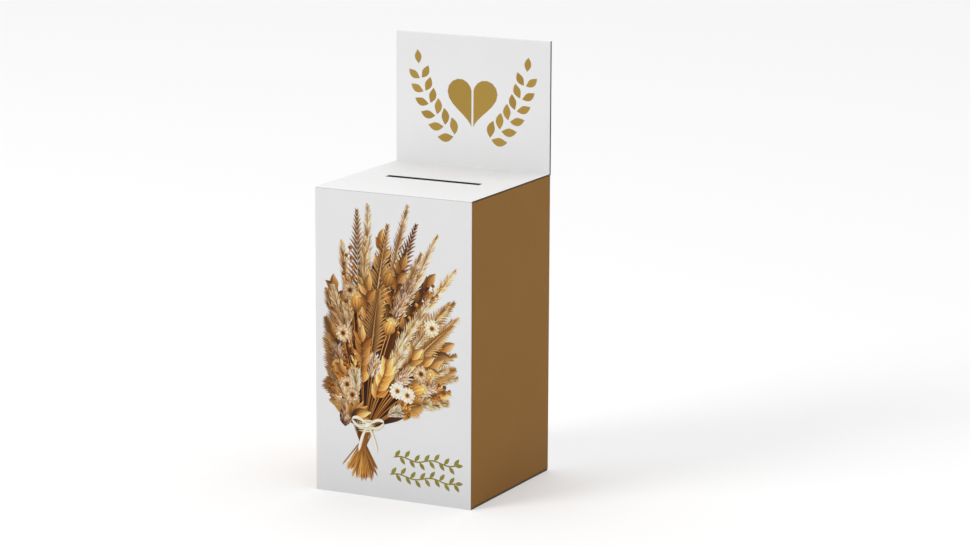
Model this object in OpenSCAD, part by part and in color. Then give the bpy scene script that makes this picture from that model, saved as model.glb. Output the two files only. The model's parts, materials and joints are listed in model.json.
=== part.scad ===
// Die-cut corrugated donation box: four walls, a slotted tuck-in lid, a folded
// double header above the rear edge, and a tuck-in bottom.
// Frame: origin at the middle of the base, X to the right, Y to the rear, Z up.

/* [Box] */
// Width of the box across the front
box_w = 250; // [180:5:400]
// Depth of the box from front to rear
box_d = 250; // [180:5:400]
// Height of the box from the floor to the top of the lid
body_h = 442; // [250:1:700]
// Thickness of the corrugated board
board_t = 2; // [1.5:0.1:3]

/* [Header] */
// Height of the header above the lid
header_h = 193; // [80:1:350]
// Thickness of the double-sided tape between the two header leaves
tape_t = 0.3; // [0.2:0.05:0.6]
// Width of one strip of header tape
tape_w = 20; // [10:1:40]
// Number of strips of header tape
tape_count = 3; // [2:1:5]
// Bare margin above, below and outside the header tape
tape_margin = 15; // [8:1:30]

/* [Slot] */
// Length of the donation slot
slot_l = 150; // [80:5:160]
// Width of the donation slot
slot_w = 10; // [6:0.5:20]
// Distance of the slot's middle in front of the middle of the box
slot_forward = 1; // [-30:1:30]

/* [Flaps] */
// Depth of the lid's tuck flap below its crease
tuck_h = 30; // [20:1:35]
// Radius of the tuck flap's free corners
tuck_corner_r = 14; // [6:1:18]
// Gap between the end of a tuck flap and the side wall
tuck_side_gap = 3; // [2:0.5:8]
// Inward lean of a tuck flap at its crease, in degrees
tuck_lean = 7; // [7:0.5:10]
// Gap between the slot's end and the edge of a dust flap below it
slot_to_dust = 5; // [2:1:12]
// Gap between a dust flap and the front wall
dust_front_gap = 6; // [5:0.5:12]
// Gap between a dust flap's crease and the rear wall
dust_rear_gap = 5; // [5:0.5:12]
// Radius of a dust flap's free front corner
dust_corner_r = 8; // [3:1:12]
// Width of the glue flap at the rear left corner
glue_flap_w = 30; // [15:1:50]
// Gap between the glue flap's ends and the ends of the wall
glue_flap_end = 14; // [10:1:40]
// Rise of the glue flap's slanted ends
glue_flap_slant = 8; // [2:1:15]

/* [Clearances] */
// Gap between the free edges of a tucked panel and the walls beside it
edge_gap = 0.3; // [0.2:0.1:1]
// Gap between a closing panel and the dust flaps that it covers
cover_gap = 0.2; // [0.1:0.05:0.5]
// Set-back of a closing panel's side edges from the outside of the side walls
side_set = 0.5; // [0:0.1:1.5]
// Drop of the front wall's top edge below the top of the lid
front_drop = 1.5; // [0:0.1:2]

/* [Hidden] */
$fn = 48;

white_print = [0.89, 0.89, 0.9];
brown_print = [0.52, 0.385, 0.215];
kraft_liner = [0.72, 0.58, 0.42];
tape_colour = [0.93, 0.9, 0.8];

total_h = body_h + header_h;
half_w = box_w / 2;
half_d = box_d / 2;
inner_w = half_w - board_t;
inner_d = half_d - board_t;

// Levels of the closing panels and of the dust flaps beyond them
lid_z = body_h - board_t;
top_dust_z = lid_z - cover_gap - board_t;
bottom_dust_z = board_t + cover_gap;
side_bottom_z = bottom_dust_z + board_t;

// Front face of the header's front leaf, where the lid creases
header_front_y = inner_d - tape_t - board_t;
header_top_z = total_h - board_t;

// Closing panels
closing_w = box_w - 2 * side_set;
closing_front_y = -inner_d + edge_gap;
tuck_w = box_w - 2 * board_t - 2 * tuck_side_gap;

// Dust flaps stop short of the slot, and their rear edge is cut at 45 degrees
dust_l = (box_w - slot_l) / 2 - slot_to_dust;
dust_front_y = -inner_d + dust_front_gap;
dust_rear_y = inner_d - dust_rear_gap;

// Gap between the ends of a dust flap's crease and the shoulders of the wall beside it
shoulder_gap = edge_gap;

// A plate standing in the YZ plane from a YZ outline, its lower X at x
module plate_yz(x, outline) {
    translate([x, 0, 0])
        rotate([90, 0, 90])
            linear_extrude(board_t)
                polygon(outline);
}

// A plate standing in the XZ plane, its lower Y at y
module plate_xz(x0, x1, y, z0, z1, t = board_t) {
    translate([x0, y, z0])
        cube([x1 - x0, t, z1 - z0]);
}

module front_wall() {
    color(white_print)
        plate_xz(-half_w, half_w, -half_d, 0, body_h - front_drop);
}

// A side wall in YZ, cut down between its shoulders for the two dust flaps
function side_outline() = [
    [-inner_d, board_t + cover_gap],
    [dust_front_y - shoulder_gap, board_t + cover_gap],
    [dust_front_y - shoulder_gap, side_bottom_z],
    [dust_rear_y + shoulder_gap, side_bottom_z],
    [dust_rear_y + shoulder_gap, board_t],
    [inner_d, board_t],
    [inner_d, lid_z],
    [dust_rear_y + shoulder_gap, lid_z],
    [dust_rear_y + shoulder_gap, top_dust_z],
    [dust_front_y - shoulder_gap, top_dust_z],
    [dust_front_y - shoulder_gap, lid_z - cover_gap],
    [-inner_d, lid_z - cover_gap]
];

module right_wall() {
    color(brown_print)
        plate_yz(inner_w, side_outline());
}

module left_wall() {
    color(brown_print)
        plate_yz(-half_w, side_outline());
}

// The rear wall runs on upward as the rear leaf of the header
module back_panel() {
    color(white_print)
        plate_xz(-half_w, half_w, inner_d, board_t, header_top_z);
}

// The maker's joint: a flap of the left wall glued inside the rear wall
module glue_flap() {
    z0 = side_bottom_z + glue_flap_end;
    z1 = top_dust_z - glue_flap_end;
    color(kraft_liner)
        translate([-inner_w, inner_d, 0])
            rotate([90, 0, 0])
                linear_extrude(board_t)
                    polygon([
                        [0, z0],
                        [glue_flap_w, z0 + glue_flap_slant],
                        [glue_flap_w, z1 - glue_flap_slant],
                        [0, z1]
                    ]);
}

// The narrow strip between the two creases at the top of the header
module header_spine() {
    color(white_print)
        plate_xz(-half_w, half_w, header_front_y, header_top_z, total_h, half_d - header_front_y);
}

module header_front_leaf() {
    color(white_print)
        plate_xz(-half_w, half_w, header_front_y, lid_z, header_top_z);
}

module header_tape() {
    z0 = lid_z + tape_margin;
    z1 = header_top_z - tape_margin;
    first_x = -half_w + tape_margin;
    step = (box_w - 2 * tape_margin - tape_w) / (tape_count - 1);
    color(tape_colour)
        for (i = [0 : tape_count - 1])
            plate_xz(first_x + i * step, first_x + i * step + tape_w,
                inner_d - tape_t, z0, z1, tape_t);
}

module lid() {
    color(white_print)
        difference() {
            translate([-closing_w / 2, closing_front_y, lid_z])
                cube([closing_w, header_front_y - closing_front_y, board_t]);
            translate([-slot_l / 2, -slot_forward - slot_w / 2, lid_z - 1])
                cube([slot_l, slot_w, board_t + 2]);
        }
}

// The outline of a tuck flap, from its crease at 0 down to tuck_h
module tuck_outline() {
    r = tuck_corner_r;
    side_x = tuck_w / 2;
    translate([-side_x, -tuck_h + r])
        square([tuck_w, tuck_h - r]);
    translate([-side_x + r, -tuck_h])
        square([tuck_w - 2 * r, tuck_h]);
    for (side = [-1, 1])
        translate([side * (side_x - r), -tuck_h + r])
            circle(r = r);
}

// A tuck flap hanging from a crease on the X axis, leaning to the rear
module tuck_flap() {
    intersection() {
        rotate([tuck_lean, 0, 0])
            translate([0, board_t, 0])
                rotate([90, 0, 0])
                    linear_extrude(board_t)
                        union() {
                            tuck_outline();
                            translate([-tuck_w / 2, 0])
                                square([tuck_w, board_t]);
                        }
        translate([-box_w, -box_d, -2 * tuck_h])
            cube([2 * box_w, 2 * box_d, 2 * tuck_h]);
    }
}

module lid_tuck_flap() {
    color(white_print)
        translate([0, closing_front_y, lid_z])
            tuck_flap();
}

module bottom_tuck_flap() {
    color(white_print)
        translate([0, closing_front_y, board_t])
            mirror([0, 0, 1])
                tuck_flap();
}

// A right-hand dust flap, seen from above, from the outer face inward
module dust_outline() {
    r = dust_corner_r;
    tip_x = half_w - dust_l;
    polygon([
        [half_w, dust_rear_y],
        [tip_x, dust_rear_y - dust_l],
        [tip_x, dust_front_y + r],
        [tip_x + r, dust_front_y + r],
        [tip_x + r, dust_front_y],
        [half_w, dust_front_y]
    ]);
    translate([tip_x + r, dust_front_y + r])
        circle(r = r);
}

module dust_flap(z) {
    translate([0, 0, z])
        linear_extrude(board_t)
            dust_outline();
}

module right_dust_flap() {
    color(brown_print)
        dust_flap(top_dust_z);
}

module left_dust_flap() {
    color(brown_print)
        mirror([1, 0, 0])
            dust_flap(top_dust_z);
}

module bottom_panel() {
    color(white_print)
        translate([-closing_w / 2, closing_front_y, 0])
            cube([closing_w, half_d - closing_front_y, board_t]);
}

module bottom_right_dust_flap() {
    color(brown_print)
        dust_flap(bottom_dust_z);
}

module bottom_left_dust_flap() {
    color(brown_print)
        mirror([1, 0, 0])
            dust_flap(bottom_dust_z);
}

front_wall();
right_wall();
left_wall();
back_panel();
glue_flap();
header_spine();
header_front_leaf();
header_tape();
lid();
lid_tuck_flap();
right_dust_flap();
left_dust_flap();
bottom_panel();
bottom_tuck_flap();
bottom_right_dust_flap();
bottom_left_dust_flap();
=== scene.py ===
"""A donation box in printed corrugated board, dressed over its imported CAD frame.

Every panel is built as real board: an outer liner, a fluted medium and an inner liner.
The print lies on the outer liners as thin shapes with their own colours.
"""

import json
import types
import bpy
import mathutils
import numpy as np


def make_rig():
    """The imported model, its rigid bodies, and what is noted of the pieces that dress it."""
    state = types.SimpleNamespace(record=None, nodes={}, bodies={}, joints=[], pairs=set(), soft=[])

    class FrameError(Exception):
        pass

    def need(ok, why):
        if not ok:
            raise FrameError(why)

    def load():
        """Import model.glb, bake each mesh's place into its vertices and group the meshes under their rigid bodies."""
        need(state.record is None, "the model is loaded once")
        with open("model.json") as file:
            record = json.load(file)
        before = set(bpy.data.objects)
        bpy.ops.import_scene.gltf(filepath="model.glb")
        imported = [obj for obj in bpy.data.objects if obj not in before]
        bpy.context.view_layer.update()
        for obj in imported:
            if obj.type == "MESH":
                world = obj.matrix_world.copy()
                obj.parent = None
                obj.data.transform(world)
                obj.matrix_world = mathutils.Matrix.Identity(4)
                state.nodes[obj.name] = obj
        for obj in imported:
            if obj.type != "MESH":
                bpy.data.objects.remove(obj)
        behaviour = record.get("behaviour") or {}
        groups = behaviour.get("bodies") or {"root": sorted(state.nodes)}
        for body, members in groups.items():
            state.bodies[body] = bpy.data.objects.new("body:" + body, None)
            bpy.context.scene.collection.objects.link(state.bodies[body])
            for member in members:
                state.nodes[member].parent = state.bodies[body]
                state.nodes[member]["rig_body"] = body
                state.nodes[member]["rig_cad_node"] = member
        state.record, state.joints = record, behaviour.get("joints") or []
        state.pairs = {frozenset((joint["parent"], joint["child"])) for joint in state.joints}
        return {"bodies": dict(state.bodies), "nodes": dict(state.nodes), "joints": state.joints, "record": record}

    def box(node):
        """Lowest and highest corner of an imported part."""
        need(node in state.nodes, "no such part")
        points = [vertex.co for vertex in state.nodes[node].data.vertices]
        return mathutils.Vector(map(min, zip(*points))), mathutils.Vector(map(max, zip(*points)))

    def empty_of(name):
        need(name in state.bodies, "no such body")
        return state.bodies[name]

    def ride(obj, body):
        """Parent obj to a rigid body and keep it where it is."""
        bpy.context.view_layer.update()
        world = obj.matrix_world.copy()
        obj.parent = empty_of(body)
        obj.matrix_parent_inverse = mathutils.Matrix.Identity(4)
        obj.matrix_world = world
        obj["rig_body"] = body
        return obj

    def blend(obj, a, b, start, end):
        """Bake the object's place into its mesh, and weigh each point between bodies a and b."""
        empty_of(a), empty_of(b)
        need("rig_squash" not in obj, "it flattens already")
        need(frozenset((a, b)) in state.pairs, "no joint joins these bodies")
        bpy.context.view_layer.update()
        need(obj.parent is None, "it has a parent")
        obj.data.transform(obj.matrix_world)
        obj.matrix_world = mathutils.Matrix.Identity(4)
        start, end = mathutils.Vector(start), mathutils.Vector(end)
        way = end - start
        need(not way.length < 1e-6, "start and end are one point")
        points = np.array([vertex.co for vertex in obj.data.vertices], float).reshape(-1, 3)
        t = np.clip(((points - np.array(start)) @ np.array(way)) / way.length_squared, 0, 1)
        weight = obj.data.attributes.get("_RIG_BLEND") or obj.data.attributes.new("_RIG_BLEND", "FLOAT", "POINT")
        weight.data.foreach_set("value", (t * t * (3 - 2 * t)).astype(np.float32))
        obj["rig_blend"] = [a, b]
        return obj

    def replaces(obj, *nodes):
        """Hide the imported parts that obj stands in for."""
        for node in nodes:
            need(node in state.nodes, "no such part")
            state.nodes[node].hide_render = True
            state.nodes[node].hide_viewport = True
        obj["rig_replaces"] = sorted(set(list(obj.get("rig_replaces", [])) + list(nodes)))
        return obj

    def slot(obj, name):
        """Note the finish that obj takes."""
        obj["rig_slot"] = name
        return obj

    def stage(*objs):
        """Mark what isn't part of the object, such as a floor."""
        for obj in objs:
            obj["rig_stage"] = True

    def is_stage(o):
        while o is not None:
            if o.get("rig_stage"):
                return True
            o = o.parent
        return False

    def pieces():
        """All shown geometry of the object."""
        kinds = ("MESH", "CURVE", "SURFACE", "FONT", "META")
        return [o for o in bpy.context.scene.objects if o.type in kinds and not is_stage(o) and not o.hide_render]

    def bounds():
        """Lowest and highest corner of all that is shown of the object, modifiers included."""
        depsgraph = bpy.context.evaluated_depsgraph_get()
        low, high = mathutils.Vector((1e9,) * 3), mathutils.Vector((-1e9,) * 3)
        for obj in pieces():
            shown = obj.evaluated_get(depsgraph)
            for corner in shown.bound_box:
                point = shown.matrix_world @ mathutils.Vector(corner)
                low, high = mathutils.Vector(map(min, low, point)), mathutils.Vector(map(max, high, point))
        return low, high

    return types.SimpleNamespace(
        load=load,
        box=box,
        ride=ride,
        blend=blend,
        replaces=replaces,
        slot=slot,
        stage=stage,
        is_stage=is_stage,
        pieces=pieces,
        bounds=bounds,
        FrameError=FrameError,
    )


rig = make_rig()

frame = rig.load()

import json
import random
from math import atan2, ceil, cos, degrees, dist, floor, log, pi, radians, sin, sqrt

import bpy
from mathutils import Matrix, Vector

CAD_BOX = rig.bounds()
MM = 0.001

# ---------------- sizes, from the frame

HALF_W = CAD_BOX[1].x
HALF_D = CAD_BOX[1].y
LID_LOW, LID_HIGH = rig.box("lid")
BOARD_T = LID_HIGH.z - LID_LOW.z
INNER_D = HALF_D - BOARD_T
HEADER_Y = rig.box("header_front_leaf")[0].y
TOP_DUST_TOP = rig.box("right_dust_flap")[1].z
BOTTOM_DUST_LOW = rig.box("bottom_right_dust_flap")[0].z

# The board itself, and its bends
LINER_T = 0.28 * MM
MEDIUM_T = 0.2 * MM
FLUTE_PITCH = 3.6 * MM
FLUTE_STEPS = 8
CREASE_R = 2.4 * MM
CREASE_INNER_R = 0.4 * MM
CREASE_STEPS = 6
SPINE_R = 1.5 * MM
HOLLOW_R = 0.5 * MM
LEAST_COLUMN = 0.02 * MM
SMOOTH_ANGLE = radians(40)

# How deep the printed liners lie under the panels' faces, which leaves room for their print
FRONT_INK_ROOM = 0.45 * MM
HEADER_INK_ROOM = 0.06 * MM

# The slot in the lid, the black painted shade that lines it, and a black border of painted shade round it
SLOT_L = 150 * MM
SLOT_W = 10 * MM
SLOT_Y = -1 * MM
SLOT_SHADE_T = 0.25 * MM
SHADE_BORDER_END = 0.3 * MM
SHADE_BORDER_SIDE = 1.2 * MM
SHADE_BORDER_RISE = 0.06 * MM
SHADE_BORDER_DEPTH = 0.1 * MM

# The flaps' outlines, and the gap between a dust flap's ends and the wall beside them
TUCK_LEAN = radians(7)
TUCK_H = 30 * MM
TUCK_RISE = 0.7 * MM
TUCK_CORNER_R = 14 * MM
DUST_CORNER_R = 8 * MM
DUST_GAP = 0.3 * MM
GLUE_FLAP_SLANT = 8 * MM

# A step that is too small to see, which keeps a measure to one side of an edge
EDGE_EPSILON = 1e-7


# ---------------- materials

# How far the painted shade darkens corners, and from how far away
PAINTED_SHADE_DEPTH = 0.24
PAINTED_SHADE_REACH = 0.1


def srgb(*rgb):
    """An 8-bit colour as the linear values that a shader takes."""
    shares = [c / 255 for c in rgb]
    return (*[c / 12.92 if c <= 0.04045 else ((c + 0.055) / 1.055) ** 2.4 for c in shares], 1)


def new_material(name):
    """A material, its tree and its Principled node."""
    mat = bpy.data.materials.new(name)
    mat.use_nodes = True
    return mat, mat.node_tree, mat.node_tree.nodes["Principled BSDF"]


def set_input(tree, target, value):
    if isinstance(value, bpy.types.NodeSocket):
        tree.links.new(value, target)
    else:
        target.default_value = value


def set_inputs(tree, node, **inputs):
    """Sets a node's inputs by name, where a value that is a socket makes a link."""
    for key, value in inputs.items():
        set_input(tree, node.inputs[key.replace("_", " ")], value)
    return node


def add_node(tree, kind, **inputs):
    return set_inputs(tree, tree.nodes.new("ShaderNode" + kind), **inputs)


def maths(tree, operation, *values):
    node = add_node(tree, "Math")
    node.operation = operation
    for target, value in zip(node.inputs, values):
        set_input(tree, target, value)
    return node.outputs[0]


def mix_colour(tree, factor, a, b):
    node = add_node(tree, "Mix")
    node.data_type = "RGBA"
    return set_inputs(tree, node, Factor=factor, A=a, B=b).outputs["Result"]


def noise(tree, scale, detail=3, roughness=0.55, squeeze=(1, 1, 1)):
    """Noise in a piece's own space, with its grain drawn out where squeeze is below 1."""
    place = add_node(tree, "Mapping", Vector=add_node(tree, "TexCoord").outputs["Object"], Scale=squeeze)
    return add_node(tree, "TexNoise", Vector=place.outputs[0], Scale=scale, Detail=detail,
                    Roughness=roughness).outputs["Fac"]


def bump(tree, strength, distance, height):
    return add_node(tree, "Bump", Strength=strength, Distance=distance, Height=height).outputs[0]


def paint_corner_shade(tree, colour):
    """A colour with painted shade, which darkens it in corners and near the floor, where less light gets in."""
    open_air = add_node(tree, "AmbientOcclusion", Distance=PAINTED_SHADE_REACH)
    open_air.samples = 8
    deep = mix_colour(tree, PAINTED_SHADE_DEPTH, colour, (0, 0, 0, 1))
    return mix_colour(tree, open_air.outputs["AO"], deep, colour)


def paper(name, colour, shade, roughness=0.55, fibre=0.35, flutes=0.5, gloss=0.3):
    """Printed or bare liner paper, mottled and fibrous, with the flutes showing faintly through and painted shade in
    its corners.
    """
    mat, tree, shader = new_material(name)
    clouds = noise(tree, 14, 4)
    speckle = noise(tree, 420, 2)
    tone = maths(tree, "MULTIPLY_ADD", clouds, 0.6, maths(tree, "MULTIPLY", speckle, 0.4))
    tone = maths(tree, "MULTIPLY_ADD", maths(tree, "SUBTRACT", tone, 0.5), 1.4, 0.5)

    fibres = noise(tree, 1500, 3, 0.7, (1, 1, 0.35))
    board = add_node(tree, "UVMap")
    board.uv_map = "board"
    across = add_node(tree, "SeparateXYZ", Vector=board.outputs[0])
    ribs = maths(tree, "SINE", maths(tree, "MULTIPLY", across.outputs[0], 2 * pi / FLUTE_PITCH))
    height = maths(tree, "MULTIPLY_ADD", ribs, flutes, maths(tree, "MULTIPLY", fibres, fibre))

    # The base colour carries painted shade in corners and near the floor
    set_inputs(tree, shader, Base_Color=paint_corner_shade(tree, mix_colour(tree, tone, colour, shade)),
               Roughness=maths(tree, "MULTIPLY_ADD", speckle, 0.16, roughness - 0.08),
               Normal=bump(tree, 0.12, 0.08 * MM, height), Specular_IOR_Level=gloss)
    return mat


def medium_paper(name, colour, shade):
    """Plain rough paper, as of the flutes."""
    mat, tree, shader = new_material(name)
    fibres = noise(tree, 900, 4, 0.7)
    set_inputs(tree, shader, Base_Color=mix_colour(tree, fibres, colour, shade),
               Roughness=0.9, Normal=bump(tree, 0.3, 0.1 * MM, fibres))
    return mat


def ink():
    """Printed ink: each shape's own colour, with the paper's grain breaking it up a little."""
    mat, tree, shader = new_material("print_ink")
    printed = add_node(tree, "VertexColor")
    printed.layer_name = "ink"
    colour = printed.outputs["Color"]
    grain = noise(tree, 1100, 2)
    darker = mix_colour(tree, 0.10, colour, (0, 0, 0, 1))
    lighter = mix_colour(tree, 0.02, colour, (1, 1, 1, 1))
    set_inputs(tree, shader, Base_Color=mix_colour(tree, grain, darker, lighter), Roughness=0.5,
               Normal=bump(tree, 0.1, 0.05 * MM, grain), Specular_IOR_Level=0.05)
    return mat


WHITE = paper("white_liner", srgb(239, 239, 239), srgb(233, 233, 233), 0.5, gloss=0.2)
BROWN = paper("brown_liner", srgb(159, 112, 46), srgb(150, 104, 40), 0.55, gloss=0.12)
KRAFT = paper("kraft_liner", srgb(156, 132, 104), srgb(138, 115, 89), 0.85, 0.8, 0.7)
MEDIUM = medium_paper("flute_medium", srgb(108, 97, 85), srgb(76, 68, 59))
# Black that stands for the shade inside the lid's slot: painted shade
SLOT_SHADE_BLACK = medium_paper("black_edge", srgb(20, 20, 21), srgb(12, 12, 13))
INK = ink()
OUTER = {"white": WHITE, "brown": BROWN, "kraft": KRAFT}


# ---------------- corrugated board

def closed(loop):
    """Each item of a closed loop with the next one."""
    return zip(loop, [*loop[1:], loop[0]])


def spans(rings, u):
    """The stretches along v where the rings' area crosses the line at u, to a tenth of a micrometre."""
    hits = []
    for ring in rings:
        for (u0, v0), (u1, v1) in closed(ring):
            if (u0 <= u) != (u1 <= u):
                hits.append(round(v0 + (v1 - v0) * (u - u0) / (u1 - u0), 7))
    hits.sort()
    return zip(hits[::2], hits[1::2])


def skin(rings):
    """The faces between neighbouring rings of points, where a ring may be one point repeated."""
    faces = []
    for near, far in zip(rings, rings[1:]):
        for (a, b), (c, d) in zip(closed(near), closed(far)):
            loop = [p for p, q in closed([a, b, d, c]) if p != q]
            if len(loop) > 2:
                faces.append(loop)
    return faces


def new_mesh(name, verts, faces):
    mesh = bpy.data.meshes.new(name)
    mesh.from_pydata(verts, [], faces)
    return mesh


def board_mesh(name, verts, faces, coords):
    """A mesh of board, smooth over its bends and sharp at its cut edges. Its coords are the places
    of its points on the flat board, which the flutes follow."""
    mesh = new_mesh(name, verts, faces)
    uv = mesh.uv_layers.new(name="board")
    for loop in mesh.loops:
        uv.data[loop.index].uv = coords[loop.vertex_index]
    mesh.validate()
    mesh.shade_smooth()
    mesh.set_sharp_from_angle(angle=SMOOTH_ANGLE)
    return mesh


def layer_mesh(name, rings, columns, low, high, place):
    """One closed layer of board: the rings' area, between low(u) and high(u) through the thickness."""
    strips = []
    stops = {u: set() for u in columns}
    for ua, ub in zip(columns, columns[1:]):
        near = spans(rings, ua + EDGE_EPSILON)
        far = spans(rings, ub - EDGE_EPSILON)
        for (a0, b0), (a1, b1) in zip(near, far):
            strips.append((ua, a0, b0, ub, a1, b1))
            stops[ua] |= {a0, b0}
            stops[ub] |= {a1, b1}

    index = {}

    def corner(u, v, side):
        return index.setdefault((u, v, side), len(index))

    faces = []
    edges = {}
    for ua, a0, b0, ub, a1, b1 in strips:
        loop = [(ua, a0)]
        loop += [(ub, v) for v in sorted(stops[ub]) if a1 <= v <= b1]
        loop += [(ua, v) for v in sorted(stops[ua], reverse=True) if a0 < v <= b0]
        if len(loop) > 2:
            faces.append([corner(u, v, 0) for u, v in loop])
            faces.append([corner(u, v, 1) for u, v in reversed(loop)])
            edges.update(dict.fromkeys(closed(loop)))
    for p, q in edges:
        if (q, p) not in edges:
            faces.append([corner(*q, 0), corner(*p, 0), corner(*p, 1), corner(*q, 1)])

    verts = [place(u, v, (low, high)[side](u)) for u, v, side in index]
    return board_mesh(name, verts, faces, [(u, v) for u, v, _ in index])


def add_object(name, data):
    added = bpy.data.objects.new(name, data)
    bpy.context.scene.collection.objects.link(added)
    return added


def add_piece(name, mesh, material, body, slot):
    piece = add_object(name, mesh)
    mesh.materials.append(material)
    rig.ride(piece, body)
    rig.slot(piece, slot)
    return piece


def columns_for(rings, bends, wave):
    """Where a layer is cut along u: at its corners, through its bends, and along the flutes."""
    cuts = {u for ring in rings for u, _ in ring}
    low, high = min(cuts), max(cuts)
    for start, end in bends:
        cuts.update(start + (end - start) * i / CREASE_STEPS for i in range(CREASE_STEPS + 1))
    if wave:
        step = FLUTE_PITCH / FLUTE_STEPS
        cuts.update(i * step for i in range(ceil(low / step), floor(high / step) + 1))
    ordered = []
    for u in sorted(cuts):
        if low <= u <= high and (not ordered or u - ordered[-1] > LEAST_COLUMN):
            ordered.append(u)
    ordered[-1] = high
    return ordered


def board(name, rings, place, body, face, bends=(), sink=lambda u: 0):
    """A panel of board, with its face at w = sink(u) and its inside at w = BOARD_T."""
    flat = columns_for(rings, bends, False)
    fluted = columns_for(rings, bends, True)

    def wave(u, side):
        middle = (sink(u) + BOARD_T) / 2
        swing = (BOARD_T - sink(u) - 2 * LINER_T - MEDIUM_T) / 2
        turn = 2 * pi * u / FLUTE_PITCH
        slope = swing * 2 * pi / FLUTE_PITCH * sin(turn)
        return middle + swing * cos(turn) + side * (MEDIUM_T / 2 * sqrt(1 + slope * slope))

    def layer(part, columns, low, high, material):
        mesh = layer_mesh(f"{name}_{part}", rings, columns, low, high, place)
        return add_piece(f"{name}_{part}", mesh, material, body, f"{face}_board")

    outer = layer("outer_liner", flat, sink, lambda u: sink(u) + LINER_T, OUTER[face])
    layer("flutes", fluted, lambda u: wave(u, -1), lambda u: wave(u, 1), MEDIUM)
    layer("inner_liner", flat, lambda u: BOARD_T - LINER_T, lambda u: BOARD_T, KRAFT)
    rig.replaces(outer, name)
    return outer


def repaint(piece, material, flat_half):
    """Gives another print to the faces beyond the middle of the bends at the ends of a flat run."""
    mesh = piece.data
    mesh.materials.append(material)
    places = mesh.uv_layers["board"].data
    limit = flat_half + QUARTER / 2 - EDGE_EPSILON
    for face in mesh.polygons:
        if all(abs(places[i].uv.x) > limit for i in face.loop_indices):
            face.material_index = 1


def fold(name, profile, start_ends, end_ends, place, face, body_a, body_b, taper=1):
    """The bent board between two panels that turn against each other. Its outer and inner lines
    of points (p, q) run from body_a to body_b, and its width along the crease goes from start_ends
    to end_ends. A taper above 1 keeps it near start_ends for longer."""
    outer, inner = profile
    count = len(outer)
    turn = 2 * count
    shares = [i / (count - 1) for i in range(count)]
    verts = []
    coords = []
    for start, end in zip(start_ends, end_ends):
        for share, point in zip(shares + shares[::-1], outer + inner[::-1]):
            along = start + (end - start) * share ** taper
            verts.append(place(along, *point))
            coords.append((along, share * CREASE_R))
    faces = skin([range(turn), range(turn, 2 * turn)])
    looks = [0] * (count - 1) + [2] + [1] * (count - 1) + [2]
    for k in range(count - 1):
        cap = [k, turn - 1 - k, turn - 2 - k, k + 1]
        faces += [cap, [turn + i for i in reversed(cap)]]
        looks += [2, 2]
    mesh = board_mesh(name, verts, faces, coords)
    piece = add_object(name, mesh)
    for material in (OUTER[face], KRAFT, MEDIUM):
        mesh.materials.append(material)
    mesh.polygons.foreach_set("material_index", looks)
    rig.slot(piece, f"{face}_board")
    middle = (start_ends[0] + start_ends[1]) / 2
    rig.blend(piece, body_a, body_b, place(middle, *outer[0]), place(middle, *outer[-1]))


def bend_profile(centre_p, start, end):
    """The lines of a convex fold round the centre (centre_p, 0), between two angles in degrees."""
    return [arc(centre_p, 0, r, start, end, CREASE_STEPS) for r in (CREASE_R, CREASE_INNER_R)]


def rectangle(u0, v0, u1, v1):
    return [(u0, v0), (u1, v0), (u1, v1), (u0, v1)]


def arc(cu, cv, r, start, end, steps=8):
    """Points round an arc, with its angles in degrees."""
    angles = [radians(start + (end - start) * i / steps) for i in range(steps + 1)]
    return [(cu + r * cos(a), cv + r * sin(a)) for a in angles]


# ---------------- the carton's panels

QUARTER = CREASE_R * pi / 2
FLAT_W = HALF_W - CREASE_R
FLAT_D = HALF_D - CREASE_R


def bent_plane(flat_half, ends):
    """Bends a flat run of half-length flat_half away at the ends listed in ends. The result tells
    how far along the run, and how far behind its face, a point at (u, w) lies."""
    def at(u, w):
        for side in ends:
            beyond = side * u - flat_half
            if beyond > 0:
                angle = beyond / CREASE_R
                reach = (CREASE_R - w) * sin(angle)
                return side * (flat_half + reach), CREASE_R - (CREASE_R - w) * cos(angle)
        return u, w
    return at


def front_wall():
    at = bent_plane(FLAT_W, (-1, 1))

    def place(u, v, w):
        x, behind = at(u, w)
        return (x, -HALF_D + behind, v)

    def sink(u):
        return FRONT_INK_ROOM * (1 - max(0, abs(u) - FLAT_W) / QUARTER)

    half = FLAT_W + QUARTER
    ring = rectangle(-half, 0, half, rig.box("front_wall")[1].z)
    bends = [(-half, -FLAT_W), (FLAT_W, half)]
    repaint(board("front_wall", [ring], place, "carton", "white", bends, sink), BROWN, FLAT_W)


def side_ring(front, rear):
    """A side wall's outline in (y, z), cut down between near and far for its dust flaps."""
    flap_low, flap_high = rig.box("right_dust_flap")
    near, far = flap_low.y - DUST_GAP, flap_high.y + DUST_GAP
    foot, head = BOTTOM_DUST_LOW + CREASE_R, TOP_DUST_TOP - CREASE_R
    return [
        (front, BOTTOM_DUST_LOW), (near, BOTTOM_DUST_LOW), (near, foot), (far, foot),
        (far, BOARD_T), (rear, BOARD_T), (rear, LID_LOW.z), (far, LID_LOW.z),
        (far, head), (near, head), (near, TOP_DUST_TOP), (front, TOP_DUST_TOP),
    ]


def side_wall(name, side, flat):
    """A side wall, flat as far back as y = flat and then bent toward the rear wall."""
    at = bent_plane(flat, (1,))

    def place(u, v, w):
        y, behind = at(u, w)
        return (side * (HALF_W - behind), y, v)

    rear = flat + QUARTER
    return board(name, [side_ring(-FLAT_D, rear)], place, "carton", "brown", [(flat, rear)])


def back_panel():
    """The rear wall, which gives way to the bent edge of the right wall up to the lid."""
    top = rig.box("back_panel")[1].z
    ring = [(-HALF_W, CREASE_R), (FLAT_W, CREASE_R), (FLAT_W, LID_LOW.z),
            (HALF_W, LID_LOW.z), (HALF_W, top), (-HALF_W, top)]
    board("back_panel", [ring], lambda u, v, w: (u, HALF_D - w, v), "carton", "white")


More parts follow.
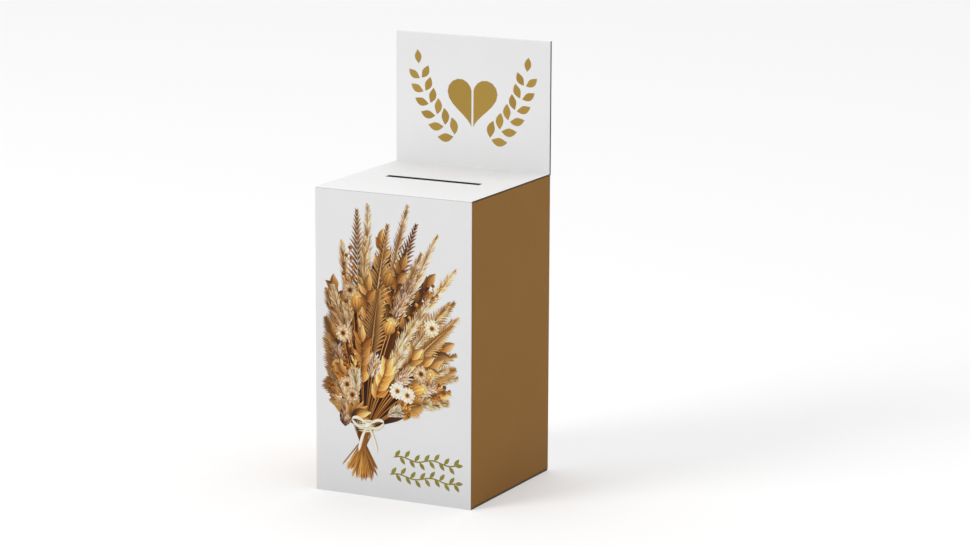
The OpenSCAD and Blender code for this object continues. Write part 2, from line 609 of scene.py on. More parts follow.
def glue_flap():
    low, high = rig.box("glue_flap")
    left = -HALF_W + CREASE_R
    ring = [(left, low.z), (high.x, low.z + GLUE_FLAP_SLANT),
            (high.x, high.z - GLUE_FLAP_SLANT), (left, high.z)]
    board("glue_flap", [ring], lambda u, v, w: (u, INNER_D - w, v), "carton", "kraft")


def header_front_leaf():
    low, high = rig.box("header_front_leaf")
    ring = rectangle(low.x, low.z, high.x, high.z)
    board("header_front_leaf", [ring], lambda u, v, w: (u, HEADER_Y + w, v),
          "carton", "white", sink=lambda u: HEADER_INK_ROOM)


def header_spine():
    """The top of the header, where the board turns over in two creases."""
    low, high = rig.box("header_spine")
    r = SPINE_R
    front = low.y + HEADER_INK_ROOM
    outline = [(front, low.z), (high.y, low.z)]
    outline += arc(high.y - r, high.z - r, r, 0, 90)
    outline += arc(front + r, high.z - r, r, 90, 180)
    verts = [(x, y, z) for x in (low.x, high.x) for y, z in outline]
    n = len(outline)
    faces = [list(range(n)), list(range(2 * n - 1, n - 1, -1))]
    faces += [[i, i + n, (i + 1) % n + n, (i + 1) % n] for i in range(n)]
    mesh = board_mesh("header_spine", verts, faces, [vert[:2] for vert in verts])
    piece = add_piece("header_spine_fold", mesh, WHITE, "carton", "white_board")
    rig.replaces(piece, "header_spine")
    mesh.materials.append(MEDIUM)
    for face in mesh.polygons[:2]:
        face.material_index = 1


def slot_rectangle(end, side):
    """The slot's outline, wider than the slot by end at its ends and by side along its sides."""
    half_l, half_w = SLOT_L / 2 + end, SLOT_W / 2 + side
    return rectangle(-half_l, SLOT_Y - half_w, half_l, SLOT_Y + half_w)


def lid():
    ring = rectangle(LID_LOW.x, LID_LOW.y + CREASE_R, LID_HIGH.x, LID_HIGH.y)
    hole = slot_rectangle(0, 0)

    def place(u, v, w):
        return (u, v, LID_HIGH.z - w)

    def lay_slot_shade(name, other, low, high):
        """Black painted shade between the slot's outline and another one."""
        columns = sorted({u for u, _ in hole + other})
        mesh = layer_mesh(name, [hole, other], columns, lambda u: low, lambda u: high, place)
        add_piece(name, mesh, SLOT_SHADE_BLACK, "lid", "kraft_board")

    board("lid", [ring, hole], place, "lid", "white")
    # Painted shade: black on the slot's cut edges and in a border round it, for the dark inside of the slot
    lay_slot_shade("lid_slot_edge", slot_rectangle(-SLOT_SHADE_T, -SLOT_SHADE_T), 0, BOARD_T)
    lay_slot_shade("lid_slot_border", slot_rectangle(SHADE_BORDER_END, SHADE_BORDER_SIDE), -SHADE_BORDER_RISE, SHADE_BORDER_DEPTH)


def tuck_ring(half):
    """A tuck flap's outline, from its crease at v = 0 down to its free edge."""
    r = TUCK_CORNER_R
    left = arc(-half + r, -TUCK_H + r, r, 180, 270)
    right = arc(half - r, -TUCK_H + r, r, 270, 360)
    return [(-half, -TUCK_RISE), *left, *right, (half, -TUCK_RISE)]


def tuck_flap(name, body, crease_z, up):
    """A tuck flap hanging from its crease, or standing on it if up is -1."""
    low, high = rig.box(name)
    c, s = cos(TUCK_LEAN), sin(TUCK_LEAN)

    def place(u, v, w):
        return (u, low.y + w * c - v * s, crease_z + up * (w * s + v * c))

    board(name, [tuck_ring(high.x)], place, body, "white")


def dust_flap(name, body, side, face_z, inward):
    """A dust flap: u runs along the crease and v away from it. Its face lies at face_z."""
    low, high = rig.box(name)
    length = high.x - low.x
    r = DUST_CORNER_R
    ring = [(high.y - CREASE_R, CREASE_R), (high.y - length, length), (low.y + r, length)]
    ring += arc(low.y + r, length - r, r, 90, 180)[1:]
    ring += [(low.y, CREASE_R)]

    def place(u, v, w):
        return (side * (HALF_W - v), u, face_z + inward * w)

    def place_fold(s, p, q):
        return (side * p, s, face_z + inward * (CREASE_R - q))

    board(name, [ring], place, body, "brown")
    ends = (low.y, high.y), (low.y, high.y - CREASE_R)
    fold(f"{name}_crease", bend_profile(FLAT_W, 0, 90), *ends, place_fold, "brown", "carton", body)


def dust_flaps(prefix, face_z, inward):
    for hand, side in (("right", 1), ("left", -1)):
        dust_flap(f"{prefix}{hand}_dust_flap", f"{prefix}dust_{hand}", side, face_z, inward)


def bottom_panel():
    low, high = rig.box("bottom_panel")
    ring = rectangle(low.x, low.y + CREASE_R, high.x, FLAT_D)
    board("bottom_panel", [ring], lambda u, v, w: (u, v, low.z + w), "bottom", "white")


def closing_creases():
    """The folds at the front and rear edges of the lid and of the bottom panel."""
    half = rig.box("lid_tuck_flap")[1].x
    tuck_fold = bend_profile(LID_LOW.y + CREASE_R, 90, 180 + degrees(TUCK_LEAN))
    at_flap = (-half, half)
    at_lid = (LID_LOW.x, LID_HIGH.x)

    def at_top(s, p, q):
        return (s, p, LID_HIGH.z - CREASE_R + q)

    def at_bottom(s, p, q):
        return (s, p, CREASE_R - q)

    fold("lid_front_crease", tuck_fold, at_lid, at_flap, at_top, "white", "lid", "lid_tuck", 2)
    fold("bottom_front_crease", tuck_fold, at_lid, at_flap, at_bottom,
         "white", "bottom", "bottom_tuck", 2)

    low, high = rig.box("bottom_panel")
    at_wall, at_panel = (low.x, FLAT_W), (low.x, high.x)
    fold("bottom_rear_crease", bend_profile(FLAT_D, 0, 90), at_wall, at_panel, at_bottom,
         "white", "carton", "bottom")

    r = HOLLOW_R
    corner = (HEADER_Y - r, LID_HIGH.z + r)
    hollow = [arc(*corner, r, 0, -90), arc(*corner, r + LINER_T / 2, 0, -90)]
    fold("lid_rear_crease", hollow, at_lid, at_lid, lambda *point: point, "white", "carton", "lid")


def header_tape():
    """The tape stays as the CAD made it, with a finish of its own."""
    mat, tree, shader = new_material("tape")
    grain = noise(tree, 300)
    colour = mix_colour(tree, grain, srgb(238, 232, 206), srgb(224, 214, 184))
    set_inputs(tree, shader, Base_Color=colour, Roughness=0.35)
    for slot in frame["nodes"]["header_tape"].material_slots:
        slot.material = mat


front_wall()
repaint(side_wall("right_wall", 1, FLAT_D), WHITE, FLAT_D)
side_wall("left_wall", -1, INNER_D - CREASE_R)
back_panel()
glue_flap()
header_front_leaf()
header_spine()
header_tape()
lid()
tuck_flap("lid_tuck_flap", "lid_tuck", LID_LOW.z, 1)
dust_flaps("", TOP_DUST_TOP, -1)
bottom_panel()
tuck_flap("bottom_tuck_flap", "bottom_tuck", BOARD_T, -1)
dust_flaps("bottom_", BOTTOM_DUST_LOW, 1)
closing_creases()


# ---------------- the print

# Colours of the print, from the deepest shadow to the palest tips
UMBER = srgb(54, 25, 5)
BROWN_INK = srgb(116, 70, 26)
OCHRE = srgb(180, 124, 58)
GOLDEN = srgb(218, 167, 94)
TAN = srgb(231, 192, 133)
CREAM = srgb(248, 228, 196)
PALE = srgb(254, 248, 238)
EMBLEM_GOLD = srgb(176, 143, 66)
OLIVE_GOLD = srgb(148, 137, 56)

# How much further from the middle tone the shaded colours lie in print
CONTRAST = 0.25
MIDDLE_TONE = 0.3

# The lightness across a shape, from its left edge to its right one
ROUNDED = (0.8, 1, 1.1)
EVEN = (1, 1, 1)
CORD = (0.6, 0.95, 0.75)

# The bouquet on the front, in millimetres from the middle of the panel's foot
TIE = (-42, 104)
NECK_HALF = 11
TAIL_LENGTH = 76
TAIL_TURN = 0.5
FAN_LEFT = -60
FAN_RIGHT = 72
BRANCH_REACH = 0.86

# The rounded outline that the bouquet's tips reach
CROWN_MIDDLE = (-1, 255)
CROWN_HALF = (108, 173)
CROWN_POWER = 2.4


def between(a, b, share):
    return a + (b - a) * share


def partway(a, b, share):
    """The point or colour at a share of the way from a to b."""
    return tuple(between(p, q, share) for p, q in zip(a, b))


def lit(colour, light):
    """A colour in more or less light: deeper and warmer in the shade, paler in the light."""
    return (colour[0] * light, colour[1] * light ** 1.2, colour[2] * light ** 1.45, 1)


def curve_at(a, b, c, t):
    """The point at a share t of the quadratic curve from a to c that is drawn toward b."""
    u = 1 - t
    return tuple(u ** 2 * p + 2 * t * u * q + t * t * r for p, q, r in zip(a, b, c))


def curve_through(a, b, c, steps):
    return [curve_at(a, b, c, i / steps) for i in range(steps + 1)]


def heading(a, b):
    """The direction from a to b, in degrees clockwise from upright."""
    return degrees(atan2(b[0] - a[0], b[1] - a[1]))


def step_from(point, angle, length):
    """The point that lies a length away, at an angle clockwise from upright."""
    angle = radians(angle)
    return point[0] + length * sin(angle), point[1] + length * cos(angle)


def by_turns(items, stride):
    """The items in rounds that keep neighbours apart, so that few of them lie on each other."""
    return [item for start in range(stride) for item in items[start::stride]]


class Sheet:
    """The shapes printed on one panel, in millimetres.

    A shape is a thin closed solid, pointed at both ends, raised in its middle and with a keel below.
    What is drawn between two calls of settle() is a cluster that lies on all it covers, each tier
    over the one before. A shape may climb by a share of its tier toward its tip, as shingles do.
    The levels of all clusters share out the panel's room.
    """

    # The side of a cell, and how close a shape's lines come at its ends
    CELL = 0.8
    POINTED = 1e-6

    # How far a shape's middle rises and its keel sinks, in steps between levels
    RISE = 0.5
    KEEL = 3

    def __init__(self, seed):
        self.random = random.Random(seed)
        self.levels = {}
        self.groups = {}
        self.pending = []
        self.tier = 0

    def pick(self, low=0, high=1):
        return self.random.uniform(low, high)

    def vary(self, value, share):
        return value * self.pick(1 - share, 1 + share)

    def cells(self, rows):
        """The cells of the panel that a shape covers."""
        found = set()
        for (left0, *_, right0), (left1, *_, right1) in zip(rows, rows[1:]):
            along = max(1, ceil(dist(left0, left1) / self.CELL))
            width = max(dist(left0, right0), dist(left1, right1))
            across = max(1, ceil(width / self.CELL))
            for i in range(along + 1):
                left = partway(left0, left1, i / along)
                right = partway(right0, right1, i / along)
                for j in range(across + 1):
                    x, z = partway(left, right, j / across)
                    found.add((floor(x / self.CELL), floor(z / self.CELL)))
        return found

    def shape(self, group, lines, shades, root, tip, climb=0):
        """Adds a shape that is drawn by three or more lines, from its left edge to its right one.
        The lines meet at both ends, and each has its own lightness in shades."""
        tint = self.pick(0.92, 1.08)
        drawn = (list(zip(*lines)), [s * tint for s in shades], root, tip, climb)
        self.pending.append((group, self.tier, drawn))

    def settle(self, loose=False):
        """Lays what was drawn since the last call on top of all that it covers: as one cluster, or
        each shape by itself if they are loose."""
        covered = [self.cells(drawn[0]) for _, _, drawn in self.pending]
        under = [max(self.levels.get(cell, 0) for cell in cells) for cells in covered]
        for cells, below, (group, tier, drawn) in zip(covered, under, self.pending):
            level = 1 + tier + (below if loose else max(under))
            self.groups.setdefault(group, []).append((level, *drawn))
            for cell in cells:
                self.levels[cell] = max(self.levels.get(cell, 0), level)
        self.pending = []
        self.tier = 0

    def blade(self, group, spine, widths, root, tip, shades=ROUNDED, climb=0, ribs=(0,)):
        """A shape along a spine, with its half-widths, of which the first and the last are 0. The
        ribs are the places of its inner lines, from -1 at its left edge to 1 at its right one."""
        last = len(spine) - 1
        sides = [heading(spine[max(i - 1, 0)], spine[min(i + 1, last)]) + 90 for i in range(last + 1)]
        lines = [[step_from(point, side, rib * width) for point, side, width in zip(spine, sides, widths)]
                 for rib in (-1, *ribs, 1)]
        self.shape(group, lines, shades, root, tip, climb)

    def oval(self, group, a, b, half, root, tip, shades=ROUNDED, steps=6, fullest=0.5, bend=0,
             ribs=(0,)):
        """A leaf, petal or berry from a to b, bent aside by a share of its length."""
        middle = [(p + q) / 2 for p, q in zip(a, b)]
        toward = step_from(middle, heading(a, b) + 90, 2 * bend * dist(a, b))
        power = log(0.5) / log(fullest)
        widths = [half * sin(pi * (i / steps) ** power) for i in range(steps + 1)]
        widths[0] = widths[-1] = 0
        self.blade(group, curve_through(a, toward, b, steps), widths, root, tip, shades, 0, ribs)

    def strand(self, group, a, angle, length, half, root, tip, droop=0, shades=ROUNDED):
        """A thin hair or leaflet from a, whose far half turns by droop degrees."""
        knee = step_from(a, angle, length * 0.5)
        end = step_from(knee, angle + droop, length * 0.5)
        self.blade(group, [a, knee, end], [0, half, 0], root, tip, shades, 0.4)

    def section(self, row, shades):
        """The points (x, z, sink, shade) across a shape: its lines and its keel, or its pointed end."""
        last = len(row) - 1
        middle, shade = row[last // 2], shades[last // 2]
        if dist(row[0], row[-1]) < self.POINTED:
            return [(*middle, 0, shade)]
        points = [(*p, -self.RISE * (0 < k < last), shades[k]) for k, p in enumerate(row)]
        return [*points, (*middle, self.KEEL, shade)]

    def make_pieces(self, place, room, prefix, flat):
        """Turns each group of shapes into a piece that rides on the carton. A flat group keeps its
        colours as they are, without the contrast of the shaded ones."""
        step = room / (max(self.levels.values()) + 2)
        for group, shapes in self.groups.items():
            contrast = 0 if group == flat else CONTRAST
            verts, faces, colours = [], [], []
            for level, rows, shades, root, tip, climb in shapes:
                rings = []
                for i, row in enumerate(rows):
                    share = i / (len(rows) - 1)
                    depth = room - (level + climb * share) * step
                    colour = partway(root, tip, share)
                    points = self.section(row, shades)
                    rings.append([len(verts) + min(k, len(points) - 1) for k in range(len(row) + 1)])
                    for x, z, sink, shade in points:
                        verts.append(place(x, z, min(depth + sink * step, room)))
                        shown = [c * (c / MIDDLE_TONE) ** contrast for c in lit(colour, shade)]
                        colours += [min(1, c) for c in shown]
                faces += skin(rings)
            mesh = new_mesh(f"{prefix}_{group}", verts, faces)
            layer = mesh.color_attributes.new(name="ink", type="FLOAT_COLOR", domain="POINT")
            layer.data.foreach_set("color", colours)
            add_piece(f"{prefix}_{group}", mesh, INK, "carton", "white_board")


class Stem:
    """One stem of the bouquet: its curve, from the tie to its tip, and the light on it."""

    def __init__(self, sheet, angle, reach, light):
        self.sheet = sheet
        self.light = light
        self.angle = angle
        self.neck = (TIE[0] + NECK_HALF * (angle - 20) / 40 + sheet.pick(-3, 3),
                     TIE[1] + sheet.pick(-2, 2))
        tip = step_from(TIE, angle, reach)
        toward = step_from(self.neck, angle * 0.72, reach * 0.55)
        self.curve = lambda t: curve_at(self.neck, toward, tip, t)

    def at(self, t):
        """The place and heading at a share t of the curve."""
        t = min(t, 0.995)
        here = self.curve(t)
        return here, heading(here, self.curve(t + 0.004))

    def tone(self, colour, extra=1):
        return lit(colour, self.light * extra)

    def any_tone(self, a, b, extra=1):
        return self.tone(partway(a, b, self.sheet.pick()), extra)

    def draw(self):
        """The stem's own line, and its tail below the tie."""
        sheet = self.sheet
        line = [self.curve(0.97 * i / 8) for i in range(9)]
        pale = partway(OCHRE, GOLDEN, sheet.pick())
        sheet.blade("stems", line, [0, 1, 1, 1, 1, 0.9, 0.8, 0.7, 0],
                    self.tone(BROWN_INK), self.tone(pale), (0.55, 1.15, 0.75))
        sheet.settle()
        back = self.angle * TAIL_TURN + 180 + sheet.pick(-4, 4)
        end = step_from(self.neck, back, sheet.vary(TAIL_LENGTH, 0.1))
        tail = [self.neck, partway(self.neck, end, 0.5), partway(self.neck, end, 0.93), end]
        sheet.blade("stems", tail, [0, 1, 1.1, 0],
                    self.tone(BROWN_INK), self.tone(pale, 1.1), (0.55, 1.2, 0.75))
        sheet.settle()


def plume(sheet, stem, start=0.52, spread=30, length=19, hairs=130):
    """A feathery grass plume: hairs that sweep up and out from the stem, in light and dark tufts."""
    for tier, opening in enumerate((1, 0.3)):
        sheet.tier = tier
        for i in range(hairs // 2):
            if i % 5 == 0:
                tuft = sheet.pick(0.6, 1.5)
            share = (i + 0.4 * sheet.pick()) * 2 / hairs
            here, along = stem.at(between(start, 1, share))
            side = 1 if i % 2 else -1
            fullness = sin(pi * (0.12 + 0.83 * share) ** 0.85) ** 0.6
            angle = along + side * spread * opening * sheet.pick(0.8, 1)
            light = tuft * (1.12 if side > 0 else 0.82)
            root = stem.any_tone(UMBER, OCHRE, light)
            tip = stem.any_tone(GOLDEN, CREAM, light * 1.25)
            sheet.strand("plumes", here, angle, sheet.vary(length, 0.2) * fullness, 1, root, tip,
                         side * sheet.pick(2, 14), (0.7, 1, 1.15))
    sheet.settle(loose=True)


def fern(sheet, stem, start=0.5, length=26, pairs=20):
    """A fern frond: pairs of narrow leaflets that shorten toward the tip."""
    root = stem.any_tone(UMBER, BROWN_INK)
    tip = stem.any_tone(OCHRE, TAN, 1.2)
    for i in range(pairs, -1, -1):
        share = i / pairs
        here, along = stem.at(between(start, 1, share))
        reach = length * (1 - share ** 1.6) * (0.55 + 0.45 * min(1, share * 5)) + 7
        half = between(2.2, 1.4, share)
        for side, shades in ((-1, (0.45, 0.75, 1)), (1, (0.55, 0.95, 1.3))):
            end = step_from(here, along + side * between(52, 24, share), sheet.vary(reach, 0.08))
            sheet.oval("fronds", here, end, half, root, tip, shades, 4, 0.4, -side * 0.08)
    sheet.tier = 1
    line = [stem.at(between(start, 1, i / 4))[0] for i in range(5)]
    sheet.blade("fronds", line, [0, 0.8, 0.7, 0.6, 0], stem.tone(TAN), stem.tone(OCHRE))
    sheet.settle()


def leaf(sheet, a, b, half, root, tip, side):
    """A broad leaf with one half in shade and a pale midrib."""
    shades = (0.35, 0.6, 0.75, 1.5, 0.9, 1.2, 1.5)
    sheet.oval("leaves", a, b, half, root, tip, shades[::side], 9, 0.42, -side * 0.07,
               (-0.5, -0.09, 0, 0.09, 0.5))
    sheet.settle()


def branch(sheet, stem, start=0.42, count=11, length=25, half=6.6):
    """A leafy branch: broad leaves by turns on each side, and one at the tip."""
    dark = partway(UMBER, OCHRE, sheet.pick())
    for i in by_turns(range(count), 2):
        here, along = stem.at(between(start, 0.95, i / count))
        side = 1 if i % 2 else -1
        end = step_from(here, along + side * sheet.pick(24, 50), sheet.vary(length, 0.15))
        light = sheet.pick(0.7, 1.3)
        tip = stem.any_tone(OCHRE, TAN, light)
        leaf(sheet, here, end, sheet.vary(half, 0.15), stem.tone(dark, light), tip, side)
    here, along = stem.at(0.94)
    leaf(sheet, here, step_from(here, along, length), half, stem.tone(OCHRE), stem.tone(TAN), 1)


def daisy(sheet, stem, radius=13, petals=15):
    """A papery everlasting flower: two rings of cream petals round a brown eye."""
    middle, along = stem.at(0.96)
    for ring in (0, 1):
        sheet.tier = 2 * ring
        for i in by_turns(range(petals), 2):
            turn = 360 * (i + 0.5 * ring) / petals + sheet.pick(-6, 6)
            end = step_from(middle, along + turn, sheet.vary(radius * between(1, 0.7, ring), 0.08))
            light = sheet.pick(0.85, 1.1) * between(0.85, 1.1, ring)
            sheet.oval("heads", middle, end, radius * 0.24,
                       stem.tone(OCHRE, light), stem.tone(CREAM, light), (0.65, 1, 1.15), 5, 0.62)
            sheet.tier = 2 * ring + (i % 2)
    sheet.tier = 4
    for i in range(9):
        end = step_from(middle, 40 * i, radius * 0.32)
        sheet.oval("heads", middle, end, radius * 0.13,
                   stem.tone(UMBER), stem.tone(OCHRE, 1.1), (0.7, 1, 1.2), 4)
    sheet.settle()


def tail_head(sheet, stem, length=36, half=10, hairs=90):
    """The soft oval head of a hare's-tail grass."""
    tip, along = stem.at(0.995)
    foot = step_from(tip, along + 180, length)
    sheet.oval("heads", foot, tip, half, stem.tone(BROWN_INK), stem.tone(OCHRE),
               (0.45, 0.95, 1.1), 8, 0.42)
    for i in range(hairs):
        sheet.tier = 1 + i % 2
        share = (i + 0.5) / hairs
        across = sheet.pick(-1, 1)
        light = 0.95 + 0.35 * across
        swell = sin(pi * (0.1 + 0.8 * share))
        here = step_from(partway(foot, tip, share * 0.85), along + 90, across * half * 0.75 * swell)
        pale = stem.any_tone(GOLDEN, PALE, light)
        sheet.strand("heads", here, along + across * 38, sheet.vary(10, 0.25), 0.8,
                     stem.tone(BROWN_INK, light), pale, across * 10)
    sheet.settle()


def pod(sheet, stem, radius=10.5):
    """A dried poppy head: a ribbed capsule with a crown of short rays."""
    tip, along = stem.at(0.995)
    foot = step_from(tip, along + 180, 2.3 * radius)
    crown = step_from(tip, along + 180, 0.25 * radius)
    pale = stem.tone(TAN)
    shades = (0.5, 0.95, 0.7, 1.2, 0.8, 1.4, 0.85, 1.15, 0.7, 0.9, 0.55)
    ribs = (-0.88, -0.7, -0.5, -0.27, 0, 0.27, 0.5, 0.7, 0.88)
    sheet.oval("heads", foot, tip, radius, stem.tone(BROWN_INK), stem.tone(GOLDEN),
               shades, 10, 0.55, 0, ribs)
    sheet.tier = 1
    for i in range(9):
        sheet.strand("heads", crown, along + between(-80, 80, i / 8), radius * 0.85, 1.4,
                     stem.tone(OCHRE), pale, 0, (0.7, 1.1, 0.9))
    sheet.tier = 2
    sheet.oval("heads", step_from(crown, along + 180, 1.5), step_from(crown, along, 2.5), 2.2, pale, pale)
    sheet.settle()


def berries(sheet, stem, start=0.5, twigs=16, size=3.3):
    """A spray of small round berries on short twigs."""
    for i in range(twigs):
        share = (i + 0.5) / twigs
        here, along = stem.at(between(start, 1, share))
        side = 1 if i % 2 else -1
        angle = along + side * sheet.pick(25, 55)
        length = sheet.vary(between(20, 9, share), 0.25)
        end = step_from(step_from(here, angle, length * 0.5), angle - side * 14, length * 0.5)
        radius = sheet.vary(size, 0.15)
        ripe = partway(BROWN_INK, OCHRE, sheet.pick())
        sheet.tier = 0
        sheet.strand("stems", here, angle, length, 0.5,
                     stem.tone(BROWN_INK), stem.tone(OCHRE), -side * 14)
        sheet.tier = 1
        sheet.oval("heads", step_from(end, angle + 180, radius), step_from(end, angle, radius), radius,
                   stem.tone(ripe, 0.8), stem.tone(ripe, 1.5), (0.5, 0.9, 1.7, 0.8), ribs=(-0.2, 0.4))
    sheet.settle(loose=True)


def bouquet_tie(sheet):
    """Twine wound round the neck, with a bow."""
    x, z = TIE
    half = NECK_HALF + 4
    for i in range(6):
        low = z - 9 + i * 3.1
        line = [(x - half, low), (x, low + 0.1), (x + half, low + 1.6)]
        sheet.blade("tie", line, [0, 1.5, 0], CREAM, PALE, (0.5, 0.95, 0.7))
    sheet.settle()
    knot = (x + 2, z)
    for side in (-1, 1):
        def beside(across, up):
            return knot[0] + side * across, knot[1] + up

        for tier, lift, tone in ((0, -9, 0.85), (1, 15, 1)):
            sheet.tier = tier
            line = curve_through(knot, beside(17, lift), beside(26, 7), 8)
            widths = [0, 1.6, 2.1, 2.4, 2.5, 2.5, 2.4, 2, 0]
            sheet.blade("tie", line, widths, CREAM, lit(PALE, tone), CORD)
        line = curve_through(knot, beside(10, -14), beside(15, -40), 8)
        sheet.tier = 2
        sheet.blade("tie", line, [0, 1.5, 1.9, 2.2, 2.4, 2.5, 2.5, 2.2, 0], CREAM, PALE, CORD)
    sheet.tier = 3
    sheet.oval("tie", (x - 3, z - 3), (x + 7, z + 3), 4, PALE, CREAM, (0.9, 1, 0.65))
    sheet.settle()


def reach_at(angle):
    """How far the crown's outline lies from the tie, at an angle clockwise from upright."""
    near, far = 0, 2 * sum(CROWN_HALF)
    for _ in range(30):
        reach = (near + far) / 2
        point = step_from(TIE, angle, reach)
        sides = [abs(p - q) / half for p, q, half in zip(point, CROWN_MIDDLE, CROWN_HALF)]
        if sum(side ** CROWN_POWER for side in sides) < 1:
            near = reach
        else:
            far = reach
    return near


def backing(sheet, count, share):
    """Long dark leaves behind a batch of plants, which close the gaps between their stems."""
    for i in by_turns(range(count), 5):
        angle = between(FAN_LEFT, FAN_RIGHT, (i + 0.5) / count)
        stem = Stem(sheet, angle, reach_at(angle) * share * sheet.pick(0.9, 1.05), 1)
        line = [stem.curve(i / 7) for i in range(8)]
        widths = [0, 3.5, 7, 9.5, 10.5, 9.5, 6, 0]
        sheet.blade("fronds", line, widths, UMBER, BROWN_INK, (0.3, 0.65, 0.95))
        sheet.settle()


def plant_row(sheet, depth, share, count, kinds):
    """One row's plants and their stems, whose tips come to a share of the crown's outline. Its depth
    goes from 0 at the back to 1 in front, and the kinds take turns in it."""
    row = []
    for i in range(count):
        across = (i + 0.5 + sheet.pick(-0.2, 0.2)) / count
        angle = between(FAN_LEFT, FAN_RIGHT, across)
        kind = kinds[i % len(kinds)]
        reach = reach_at(angle) * min(1, share * sheet.pick(0.93, 1.03))
        if kind is branch:
            reach *= BRANCH_REACH
        light = between(0.72, 1.22, across) * between(0.85, 1.2, depth) * sheet.pick(0.7, 1.25)
        row.append((kind, Stem(sheet, angle, reach, light)))
    return by_turns(row, 2)


def bouquet(sheet):
    """A tied bouquet of dried plants, drawn from the back row to the front one."""
    rows = [
        (0, 1.00, 27, (plume, branch, plume, fern)),
        (0.2, 0.88, 19, (branch, plume, berries, plume, fern)),
        (0.4, 0.75, 16, (plume, daisy, branch, pod, tail_head)),
        (0.6, 0.62, 13, (fern, tail_head, plume, branch, daisy, pod)),
        (0.8, 0.48, 10, (plume, tail_head, daisy, berries, branch, pod)),
        (1, 0.34, 7, (branch, daisy, plume, tail_head)),
    ]
    for batch, count, share in ((rows[:3], 26, 0.82), (rows[3:], 16, 0.52)):
        backing(sheet, count, share)
        plants = [plant for row in batch for plant in plant_row(sheet, *row)]
        stems = sorted((stem for _, stem in plants), key=lambda stem: stem.neck[0])
        for stem in by_turns(stems, 9):
            stem.draw()
        for draw_head, stem in plants:
            draw_head(sheet, stem)
    bouquet_tie(sheet)


def heart(sheet, x, z, width):
    """A heart of two halves with a slit between them, its point at (x, z)."""
    scale = width / 32
    slit = 0.02 * width
    steps = 16
    for side in (-1, 1):
        inner, outer = [], []
        for i in range(steps + 1):
            t = pi * (1 - i / steps)
            curl = 13 * cos(t) - 5 * cos(2 * t) - 2 * cos(3 * t) - cos(4 * t)
            outer.append((x + side * (slit + 16 * scale * sin(t) ** 3), z + scale * (17 + curl)))
            inner.append((x + side * slit, z + scale * 22 * i / steps))
        outer[0], outer[-1] = inner[0], inner[-1]
        middle = [tuple((p + q) / 2 for p, q in zip(a, b)) for a, b in zip(inner, outer)]
        sheet.shape("emblem", (inner, middle, outer)[::side], EVEN, EMBLEM_GOLD, EMBLEM_GOLD)
    sheet.settle()


def sprig(sheet, foot, tip, lean, leaves=6, length=26, half=6.4):
    """A leafy sprig for the emblem: pairs of leaves along a bowed line, and one at its tip."""
    toward = step_from(partway(foot, tip, 0.5), heading(foot, tip) + 90, lean)
    for i in range(leaves + 1):
        t = i / leaves
        here, beyond = (curve_at(foot, toward, tip, min(t, 0.99) + ahead) for ahead in (0, 0.01))
        along = heading(here, beyond)
        for side in (-1, 1) if i < leaves else (0,):
            start = step_from(here, along + side * 90, 1.6)
            end = step_from(start, along + side * 42, length * between(1, 0.8, t))
            sheet.oval("emblem", start, end, half * between(1, 0.85, t),
                       EMBLEM_GOLD, EMBLEM_GOLD, EVEN, 8, 0.5, side * 0.06)
            sheet.settle()


def vine(sheet, left, right, z, leaves, swing=2.5, lean=52, length=14, half=2.9):
    """A wavy stem with small leaves by turns above and below it, and one at its tip."""
    def at(share):
        return between(left, right, share), z + swing * sin(4 * pi * share)

    plain = (OLIVE_GOLD, OLIVE_GOLD, EVEN)
    sheet.blade("marks", [at(i / 30) for i in range(31)], [0, *[1] * 29, 0], *plain)
    sheet.settle()
    twigs = [((i + 0.4) / leaves, 90 + lean * (1 if i % 2 else -1), length) for i in range(leaves)]
    for share, angle, reach in [*twigs, (0.97, 84, length - 1)]:
        sheet.oval("marks", at(share), step_from(at(share), angle, reach), half, *plain)
        sheet.settle()


def rows_of_marks(sheet):
    """Two leafy vines, one above the other, at the foot of the front."""
    vine(sheet, 0, 102, 62, 13)
    vine(sheet, -6, 102, 36, 14)


def emblem(sheet):
    """A heart between two leafy sprigs, in the middle of the header."""
    heart(sheet, 0, 500, 78)
    for side in (-1, 1):
        sprig(sheet, (side * 30, 486), (side * 88, 588), side * 26)


def print_panel(prefix, seed, motifs, face_y, room, flat):
    """Draws the motifs on a sheet, and lays it in the room that a panel leaves for its print."""
    sheet = Sheet(seed)
    for draw in motifs:
        draw(sheet)
    sheet.make_pieces(lambda x, z, w: (x * MM, face_y + w, z * MM), room, prefix, flat)


print_panel("front_print", 7, (bouquet, rows_of_marks), -HALF_D, FRONT_INK_ROOM, "marks")
print_panel("header_print", 3, (emblem,), HEADER_Y, HEADER_INK_ROOM, "emblem")


# ---------------- stage, light and camera

# The sky's brightness: at the sides, and what it gains overhead and toward the rear
SKY_LEVEL = 0.36
SKY_OVERHEAD = 0.54
SKY_REAR = 0.8

# The one lamp, in metres and watts
KEY_PLACE = (-3.3, -4.84, 3.7)
KEY_AIM = (0, 0, 0.4)
KEY_SIZE = 3.1
KEY_POWER = 197

FLOOR_HALF = 12
FLOOR_GLOW = 0.22
FLOOR_DIFFUSE = 0.75

# The photo's camera: its turns (26.68 degrees to the right of the front, 11.73 above the level, and
# rolled by 0.26), its distance and aim in metres, and its lens in millimetres
CAMERA_TURNS = ((26.68, "Z"), (90 - 11.73, "X"), (0.26, "Z"))
CAMERA_DISTANCE = 5.062
CAMERA_AIM = (0.08233, 0, 0.31433)
CAMERA_LENS = 131.795


def show_apart(tree, lighting, shown, output):
    """Gives one shader to camera and glossy rays, and another to those that light the scene."""
    path = add_node(tree, "LightPath")
    seen = maths(tree, "MAXIMUM", path.outputs["Is Camera Ray"], path.outputs["Is Glossy Ray"])
    choose = add_node(tree, "MixShader")
    for source, target in zip((seen, lighting.outputs[0], shown.outputs[0]), choose.inputs):
        tree.links.new(source, target)
    tree.links.new(choose.outputs[0], tree.nodes[output].inputs[0])


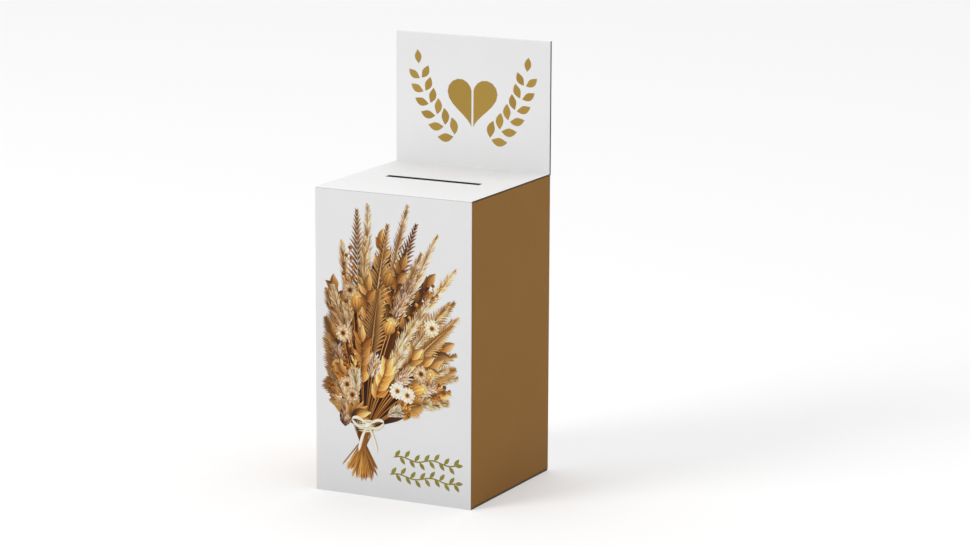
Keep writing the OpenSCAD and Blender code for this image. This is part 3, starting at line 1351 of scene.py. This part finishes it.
def make_stage():
    """A wide pale floor that shows white to the camera and keeps a soft shadow."""
    corners = rectangle(-FLOOR_HALF, -FLOOR_HALF, FLOOR_HALF, FLOOR_HALF)
    mesh = new_mesh("floor", [(x, y, 0) for x, y in corners], [(0, 1, 2, 3)])
    ground = add_object("floor", mesh)
    mat, tree, shader = new_material("floor_white")
    set_inputs(tree, shader, Base_Color=srgb(190, 190, 191), Roughness=0.8)
    glow = add_node(tree, "Emission", Color=(1, 1, 1, 1), Strength=FLOOR_GLOW)
    plain = add_node(tree, "BsdfDiffuse", Color=(FLOOR_DIFFUSE, FLOOR_DIFFUSE, FLOOR_DIFFUSE, 1))
    shown = add_node(tree, "AddShader")
    tree.links.new(glow.outputs[0], shown.inputs[0])
    tree.links.new(plain.outputs[0], shown.inputs[1])
    show_apart(tree, shader, shown, "Material Output")
    mesh.materials.append(mat)
    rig.stage(ground)


def make_world():
    world = bpy.data.worlds.new("studio")
    bpy.context.scene.world = world
    world.use_nodes = True
    tree = world.node_tree
    ray = add_node(tree, "TexCoord").outputs["Generated"]
    toward = add_node(tree, "SeparateXYZ", Vector=ray)
    strength = SKY_LEVEL
    for axis, gain in (("Z", SKY_OVERHEAD), ("Y", SKY_REAR)):
        facing = maths(tree, "MAXIMUM", toward.outputs[axis], 0)
        strength = maths(tree, "MULTIPLY_ADD", facing, gain, strength)
    light = set_inputs(tree, tree.nodes["Background"], Color=(1, 1, 1, 1), Strength=strength)
    shown = add_node(tree, "Background", Color=(1, 1, 1, 1), Strength=1)
    show_apart(tree, light, shown, "World Output")


def make_key_lamp():
    data = bpy.data.lights.new("key", "AREA")
    data.shape = "DISK"
    data.size = KEY_SIZE
    data.energy = KEY_POWER
    lamp = add_object("key", data)
    lamp.location = KEY_PLACE
    lamp.rotation_euler = (Vector(KEY_AIM) - Vector(KEY_PLACE)).to_track_quat("-Z", "Y").to_euler()


def make_camera():
    """The photo's camera, turned round its aim."""
    data = bpy.data.cameras.new("camera")
    data.sensor_width = 36
    data.lens = CAMERA_LENS
    data.clip_start, data.clip_end = 0.1, 60
    camera = add_object("camera", data)
    place = Matrix.Translation(CAMERA_AIM)
    for angle, axis in CAMERA_TURNS:
        place @= Matrix.Rotation(radians(angle), 4, axis)
    camera.matrix_world = place @ Matrix.Translation((0, 0, CAMERA_DISTANCE))
    bpy.context.scene.camera = camera


make_stage()
make_world()
make_key_lamp()
make_camera()
bpy.context.scene.view_settings.view_transform = "Standard"

VISUAL_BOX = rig.bounds()
sizes = {"cad": [list(c) for c in CAD_BOX], "visual": [list(c) for c in VISUAL_BOX]}
with open("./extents.json", "w") as size_file:
    json.dump(sizes, size_file)
